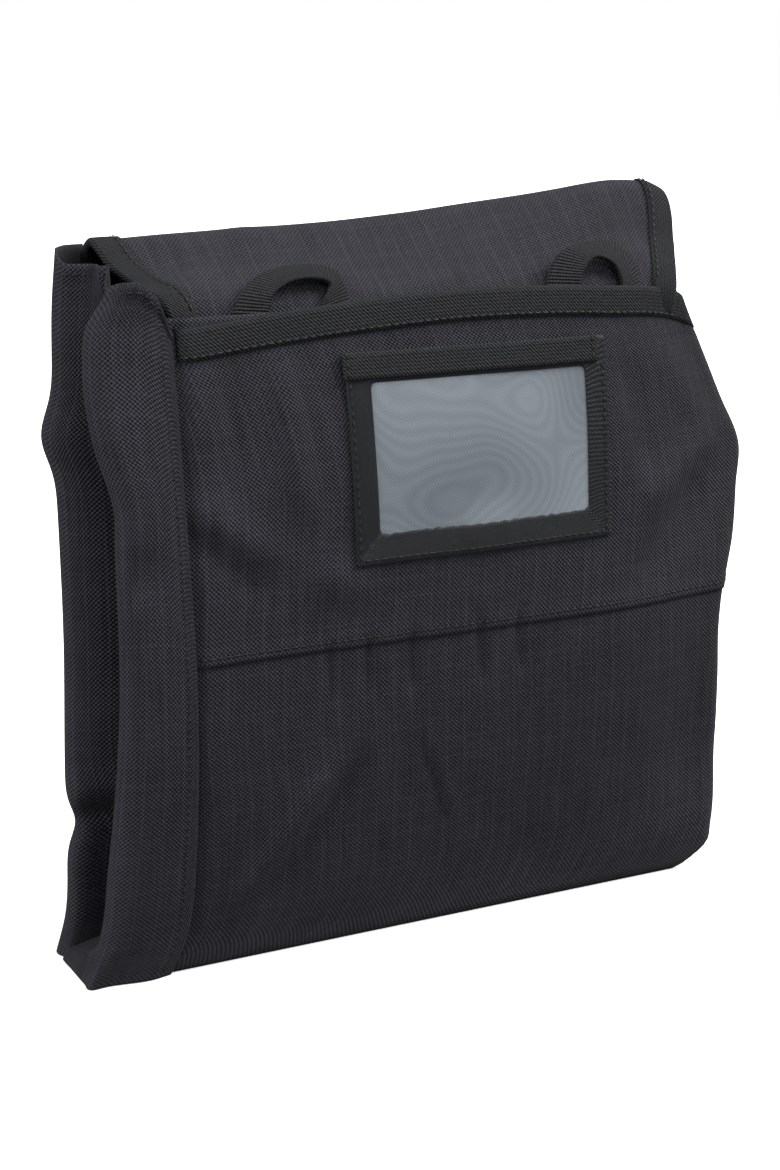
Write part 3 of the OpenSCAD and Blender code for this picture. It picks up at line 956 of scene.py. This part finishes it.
left_rails = leaned(LEFT_OUTER, 3.75), leaned(LEFT_INNER, 7)
right_rails = leaned(RIGHT_OUTER, 4), leaned(RIGHT_INNER, 6)
webbing_loop("left_loop_strap", "left_webbing_loop", "left_loop", *left_rails)
webbing_loop("right_loop_strap", "right_webbing_loop", "right_loop", *right_rails)

# ---------------------------------------------------------------- stitching

STITCH_PITCH = 3.3


def stitches(name, body, line, out):
    """Row of lockstitches along line, a list of points in millimetres; out is the way they stand proud."""
    line = np.array(line, float)
    run = np.concatenate([[0], np.cumsum(np.linalg.norm(np.diff(line, axis=0), axis=1))])
    at = np.arange(STITCH_PITCH / 2, run[-1], STITCH_PITCH)

    def along(at):
        return np.stack([np.interp(at, run, line[:, k]) for k in range(3)], axis=1)

    middles = along(at)
    ahead = along(at + 0.5) - along(at - 0.5)
    ahead /= np.linalg.norm(ahead, axis=1, keepdims=True)
    out = np.broadcast_to(np.array(out, float), ahead.shape)
    side = np.cross(out, ahead)
    side /= np.linalg.norm(side, axis=1, keepdims=True)
    up = np.cross(ahead, side)
    bpy.ops.object.select_all(action="DESELECT")
    bpy.ops.mesh.primitive_uv_sphere_add(segments=8, ring_count=4, radius=1)
    piece = bpy.context.object
    piece.name = piece.data.name = name
    one = np.zeros(len(piece.data.vertices) * 3)
    piece.data.vertices.foreach_get("co", one)
    one = one.reshape(-1, 3) * (0.4, 0.24, 1.2)
    apply(piece, "ARRAY", count=len(at), relative_offset_displace=(0, 0, 0), use_constant_offset=True,
          constant_offset_displace=(0, 0, 0))
    spread = np.einsum("vk,nkc->nvc", one, np.stack([side, up, ahead], axis=1)) + middles[:, None]
    piece.data.vertices.foreach_set("co", (spread * MM).ravel())
    bpy.ops.object.shade_smooth()
    dress(piece, thread, body)


def on_front(a, z, out):
    """List of points of the front cloth along arrays a and z."""
    return np.array(front_point(np.asarray(a, float), np.asarray(z, float), out)).T


def on_left(u, z, proud):
    """List of points of the left side along arrays u and z, some way in front of the cloth."""
    x, y = left_point(u, z)
    return np.stack([x, y - proud, z], axis=1)


upward = np.linspace(3, 247, 120)
stitches("left_seam_stitches", "front", on_left(np.full(120, 0.034), upward, 0.42), (0, -1, 0))
for name, body, first, last in (("leaf", "front", 0.035, 0.25), ("mouth", "pouch", 0.53, 0.75)):
    across = np.linspace(first, last, 80)
    hem_line = on_left(across, left_top(across) - HEM + 0.9, 1.05)
    stitches(f"left_{name}_hem_stitches", body, hem_line, (0, -1, 0))
across = np.linspace(LEFT_SEAM + 2, 136, 120)
stitches("pocket_hem_stitches", "front", on_front(across, POCKET_FOOT + 3.0 + 0 * across, 1.05), (0, -1, 0))
across = np.linspace(LEFT_SEAM + 2, 106, 120)
tape_line = on_front(across, edge_height(across) - TAPE_W + 1.8, 2.2)
stitches("front_edge_stitches", "front", tape_line, (0, -1, 0.2))
frame_x = (frame_low[0] + 1.8, frame_high[0] - 1.8)
frame_z = (frame_low[2] + 1.8, header_low[2] - 1)
for name, ends in (
    ("left", (frame_x[0], frame_x[0], frame_z[1], frame_z[0])),
    ("right", (frame_x[1], frame_x[1], frame_z[0], frame_z[1])),
    ("lower", (frame_x[0] + 1, frame_x[1] - 1, frame_z[0], frame_z[0])),
):
    frame_line = on_front(np.linspace(ends[0], ends[1], 60), np.linspace(ends[2], ends[3], 60), 1.75)
    stitches(f"label_{name}_stitches", "front", frame_line, (0, -1, 0))
for name, x in (("left", header_low[0] + 2), ("right", header_high[0] - 2)):
    header_line = on_front(np.full(8, x), np.linspace(header_low[2] + 0.5, header_high[2] - 0.5, 8), 2.65)
    stitches(f"header_{name}_stitches", "front", header_line, (0, -1, 0))
for name, edge_x, inset in (("left", flap_left, TAPE_W - 1.8), ("right", flap_right, 1.8 - TAPE_W)):
    run = np.linspace(hinge_run + 12, end_run - 18, 120)
    line = lifted_back(edge_x(run) + inset, run, FOLD_HALF + TAPE_T / 2)
    stitches(f"flap_{name}_stitches", "flap", line.T, (0, -0.5, 0.87))

# ---------------------------------------------------------------- the folded changing bag inside


def folded_layers(name, node_name, passes, material):
    """Cloth folded to and fro in upright passes that fill the CAD solid's depth."""
    low, high = span(node_name)
    stops = []
    for k in range(passes + 1):
        y = low[1] + 1.6 + k * (high[1] - low[1] - 3.2) / passes
        ends = (low[2] + 3, high[2] - 3)
        stops += [(y, ends[k % 2]), (y, (ends[0] + ends[1]) / 2), (y, ends[1 - k % 2])]
    run = np.linspace(0, 1, len(stops))
    deep, high_at = (curve(list(zip(run, column))) for column in zip(*stops))

    def place(u, v):
        x = low[0] + u * (high[0] - low[0])
        z = np.clip(high_at(v), low[2] + 1, high[2] - 1)
        return x, deep(v) + 0.5 * unrest(x, z, 70, 9) * ease(z, 10, 60) * (1 - ease(z, 190, 225)), z

    piece = cloth(name, 60, 40 * (passes + 1), place, 0.9)
    dress(piece, material, "pouch", [node_name])


folded_layers("outer_bag_cloth", "outer_bag_fold", 5, bag_cloth)
folded_layers("inner_bag_cloth", "inner_bag_fold", 2, lining)


def sleeve(side_name):
    """Sleeve pressed flat in front of the bag, a slack closed form with soft creases."""
    low, high = span(side_name + "_sleeve")
    middle_x, half_x = (low[0] + high[0]) / 2, (high[0] - low[0]) / 2

    def place(u, v):
        turn = 2 * math.pi * u
        z = low[2] + v * (high[2] - low[2])
        squeeze = 1 - 0.45 * ease(z, high[2] - 40, high[2])
        pinch = np.sqrt(np.clip(1 - ((v - 0.5) * 2) ** 8, 0, 1))
        inner = front_wall(z) + 5.6
        outer = high[1] - 0.3
        x = middle_x + half_x * squeeze * np.cos(turn) * (0.9 + 0.1 * pinch)
        flank = np.abs(np.sin(turn))
        depth = (outer - inner) / 2 * np.sign(np.sin(turn)) * flank**0.6 * np.maximum(pinch, 0.02)
        crease = 0.5 * unrest(x, z, 30, 11) * flank * pinch
        return x, (inner + outer) / 2 + depth * 0.93 + crease * np.sign(-np.sin(turn)) * 0.6, z

    piece = cloth(side_name + "_sleeve_cloth", 72, 60, place, 0, joined=True)
    dress(piece, lining, "pouch", [side_name + "_sleeve"])


def cuff(side_name):
    """Gathered elastic cuff at the end of a sleeve."""
    low, high = span(side_name + "_cuff")
    middle = (low + high) / 2
    half = (high - low) / 2
    gathers = 34

    def place(u, v):
        turn = 2 * math.pi * u
        band = np.sin(math.pi * np.clip(v, 0, 1))
        grow = 0.86 + 0.14 * band + 0.035 * np.sin(gathers * turn) * (1.2 - band)
        x = middle[0] + (half[0] - 0.7) * grow * np.sign(np.cos(turn)) * np.abs(np.cos(turn)) ** 0.7
        y = middle[1] + (half[1] - 0.7) * grow * np.sign(np.sin(turn)) * np.abs(np.sin(turn)) ** 0.8
        return x, y, low[2] + v * (high[2] - low[2])

    piece = cloth(side_name + "_cuff_band", 272, 10, place, 0.9, joined=True)
    dress(piece, elastic, "pouch", [side_name + "_cuff"])


for side_name in ("left", "right"):
    sleeve(side_name)
    cuff(side_name)

# ---------------------------------------------------------------- zips

COIL_PITCH = 1.6
TAPE_RISE = 3.6          # how far the zip's tape tents over the fold


def zip_closure(prefix):
    """Zip along the top of a fold: two tented tapes and a row of coil teeth."""
    low, high = span(prefix + "_zip")
    middle_y = (low[1] + high[1]) / 2
    half = (high[1] - low[1]) / 2
    base = low[2]
    for side_name, side in (("front", -1), ("back", 1)):
        rise = curve([(0, TAPE_RISE), (0.25, TAPE_RISE), (0.48, 0.6), (1, 0.4)])

        def place(u, v, side=side):
            x = low[0] + u * (high[0] - low[0])
            return x, middle_y + side * (0.7 + v * (half - 0.7)), base + rise(v) + 0.3

        piece = cloth(f"{prefix}_zip_{side_name}_tape", 90, 12, place, 0.6)
        dress(piece, zip_tape, "pouch")
    bpy.ops.object.select_all(action="DESELECT")
    bpy.ops.mesh.primitive_uv_sphere_add(segments=8, ring_count=5, radius=1)
    coil = bpy.context.object
    coil.name = coil.data.name = prefix + "_zip_teeth"
    one = np.zeros(len(coil.data.vertices) * 3)
    coil.data.vertices.foreach_get("co", one)
    one = one.reshape(-1, 3) * (0.55, 1.25, 1.0)
    places = [
        (x, middle_y + side * 1.1, base + TAPE_RISE)
        for x in np.arange(low[0] + 2, high[0] - 1, COIL_PITCH)
        for side in (-1, 1)
    ]
    places = np.array(places) + np.array([(0, 0, 0), (COIL_PITCH / 2, 0, 0)] * (len(places) // 2))
    apply(coil, "ARRAY", count=len(places), relative_offset_displace=(0, 0, 0))
    coil.data.vertices.foreach_set("co", ((one[None] + places[:, None]) * MM).ravel())
    bpy.ops.object.shade_smooth()
    dress(coil, coil_nylon, "pouch", [prefix + "_zip"])


zip_closure("outer")
zip_closure("inner")


for metal_node in (
    "outer_zip_stops", "inner_zip_stops", "outer_zip_slider", "outer_zip_pull", "inner_zip_slider",
    "inner_zip_pull",
):
    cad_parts[metal_node].data.materials.clear()
    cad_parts[metal_node].data.materials.append(zinc)

# ---------------------------------------------------------------- floor and light


def studio():
    """White floor, broad soft lights from above, the front and both sides, and a pale surrounding."""
    bpy.ops.object.select_all(action="DESELECT")
    bpy.ops.mesh.primitive_plane_add(size=12)
    floor = bpy.context.object
    floor.name = "floor"
    paper, tree = finish_material("white_paper", Roughness=0.9, Specular_IOR_Level=0.2)
    # Little light comes back up from the floor, although it looks white
    seen = node(tree, "LightPath", out="Is Camera Ray")
    tone = node(tree, "Mix", {0: seen, 6: linear("#6e6e6e"), 7: linear("#fcfcfc")}, out=2, data_type="RGBA")
    plug(tree, tone, "Base Color")
    paper.node_tree.nodes["Principled BSDF"].inputs["Emission Color"].default_value = (1, 1, 1, 1)
    plug(tree, node(tree, "Math", [seen, 0.55], operation="MULTIPLY"), "Emission Strength")
    floor.data.materials.append(paper)
    for name, place, spread, power in (
        ("top_light", (0.3, -0.2, 1.0), 40, 2.3),
        ("front_light", (0.0, -1.0, 0.5), 30, 0.88),
        ("right_light", (1.0, -0.3, 0.8), 25, 2.5),
        ("left_light", (-1.0, -0.12, 0.35), 25, 2.8),
    ):
        aim = Vector(place).to_track_quat("Z", "Y").to_euler()
        bpy.ops.object.light_add(type="SUN", location=place, rotation=aim)
        light = bpy.context.object
        light.name = name
        light.data.angle = math.radians(spread)
        light.data.energy = power
    world = bpy.data.worlds.new("studio")
    bpy.context.scene.world = world
    world.use_nodes = True
    tree = world.node_tree
    seen = node(tree, "LightPath", out="Is Camera Ray")
    strength = node(tree, "MapRange", {0: seen, 1: 0.0, 2: 1.0, 3: 0.2, 4: 1.0})
    sky = tree.nodes["Background"]
    sky.inputs["Color"].default_value = (1, 1, 1, 1)
    tree.links.new(strength, sky.inputs["Strength"])
    bpy.context.scene.view_settings.view_transform = "Standard"


studio()
